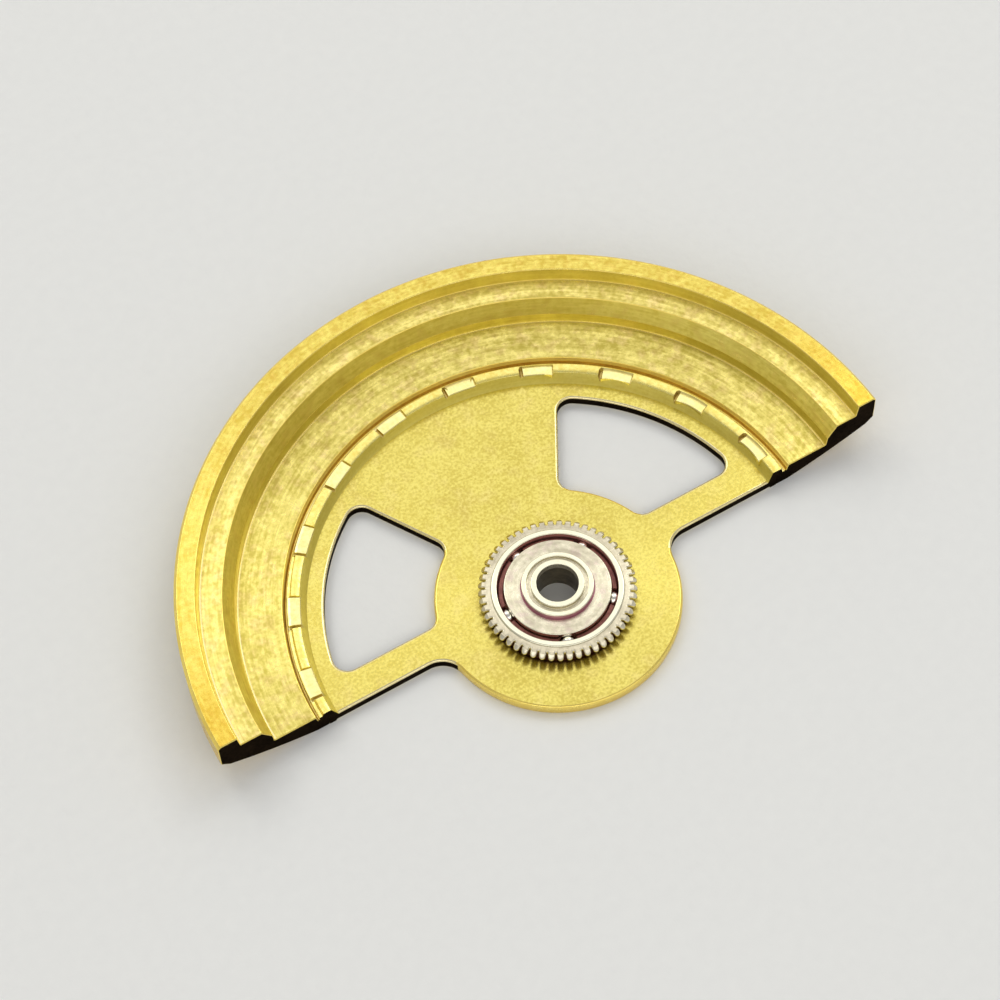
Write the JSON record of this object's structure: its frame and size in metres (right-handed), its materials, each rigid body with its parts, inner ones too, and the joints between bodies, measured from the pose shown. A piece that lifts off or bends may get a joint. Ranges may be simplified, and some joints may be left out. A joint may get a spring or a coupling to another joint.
{
  "type": "automatic watch rotor",
  "caption": "Half-round winding rotor of an automatic watch: a stepped heavy mass staked to a windowed plate, with a geared ball bearing in its hub.",
  "frame": {"origin": "on the rotor's axis, at the flat of the display side that the rotor lies on", "axes": "+Z along the rotor's axis towards the movement side, where the gear is; +Y from the axis to the middle of the heavy mass; +X along the straight cut of its ends"},
  "size_m": [0.025, 0.0166, 0.0023],
  "materials": {
    "mass_gold": "turned, gold plated",
    "plate_gold": "satin, gold plated",
    "race_steel": "turned, with a polished lip",
    "gear_steel": "satin",
    "core_steel": "turned",
    "cage_metal": "dark",
    "ball_steel": "polished"
  },
  "bodies": {
    "rotor": {"rotor_plate": "plate_gold", "heavy_mass": "mass_gold", "outer_race": "race_steel", "rotor_gear": "gear_steel"},
    "core": {"bearing_core": "core_steel", "bearing_cone": "core_steel"},
    "cage": {"ball_cage": "cage_metal"},
    "ball_1": {"ball_1": "ball_steel"},
    "ball_2": {"ball_2": "ball_steel"},
    "ball_3": {"ball_3": "ball_steel"},
    "ball_4": {"ball_4": "ball_steel"},
    "ball_5": {"ball_5": "ball_steel"}
  },
  "joints": [
    {"name": "core_spin", "type": "hinge", "parent": "rotor", "child": "core", "pos_m": [0, 0, 0], "axis": [0, 0, 1], "continuous": true},
    {"name": "cage_spin", "type": "hinge", "parent": "rotor", "child": "cage", "pos_m": [0, 0, 0], "axis": [0, 0, 1], "continuous": true},
    {"name": "ball_1_roll", "type": "hinge", "parent": "cage", "child": "ball_1", "pos_m": [0.00156, 0.00102, 0.0006], "axis": [0, 0, 1], "continuous": true},
    {"name": "ball_2_roll", "type": "hinge", "parent": "cage", "child": "ball_2", "pos_m": [-0.00049, 0.0018, 0.0006], "axis": [0, 0, 1], "continuous": true},
    {"name": "ball_3_roll", "type": "hinge", "parent": "cage", "child": "ball_3", "pos_m": [-0.00187, 0.00009, 0.0006], "axis": [0, 0, 1], "continuous": true},
    {"name": "ball_4_roll", "type": "hinge", "parent": "cage", "child": "ball_4", "pos_m": [-0.00066, -0.00175, 0.0006], "axis": [0, 0, 1], "continuous": true},
    {"name": "ball_5_roll", "type": "hinge", "parent": "cage", "child": "ball_5", "pos_m": [0.00146, -0.00117, 0.0006], "axis": [0, 0, 1], "continuous": true}
  ],
  "couplings": [
    {"joint": "cage_spin", "follows": "core_spin", "ratio": 0.42647},
    {"joint": "ball_1_roll", "follows": "core_spin", "ratio": -3.3265},
    {"joint": "ball_2_roll", "follows": "core_spin", "ratio": -3.3265},
    {"joint": "ball_3_roll", "follows": "core_spin", "ratio": -3.3265},
    {"joint": "ball_4_roll", "follows": "core_spin", "ratio": -3.3265},
    {"joint": "ball_5_roll", "follows": "core_spin", "ratio": -3.3265}
  ]
}
